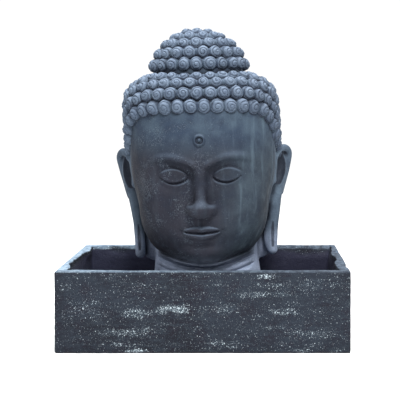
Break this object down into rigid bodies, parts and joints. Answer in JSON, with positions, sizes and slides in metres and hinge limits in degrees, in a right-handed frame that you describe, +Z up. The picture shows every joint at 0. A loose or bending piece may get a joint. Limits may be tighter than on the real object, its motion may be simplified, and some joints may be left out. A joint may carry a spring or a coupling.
{
  "type": "buddha head fountain",
  "caption": "Carved stone head with snail-curl hair, tiered topknot and long ears, standing in an open rectangular stone basin.",
  "frame": {"origin": "centre of the basin's underside, on the ground", "axes": "+Z up, the face and the basin's long front wall towards -Y, +X to the right of someone facing it"},
  "size_m": [1, 0.6452, 1.1191],
  "materials": {
    "head_stone": "matt, finely pecked, blue-grey",
    "basin_stone": "matt, rough sawn, dark slate with pale specks"
  },
  "bodies": {
    "root": {"buddha_head": "head_stone", "basin": "basin_stone"}
  },
  "joints": []
}
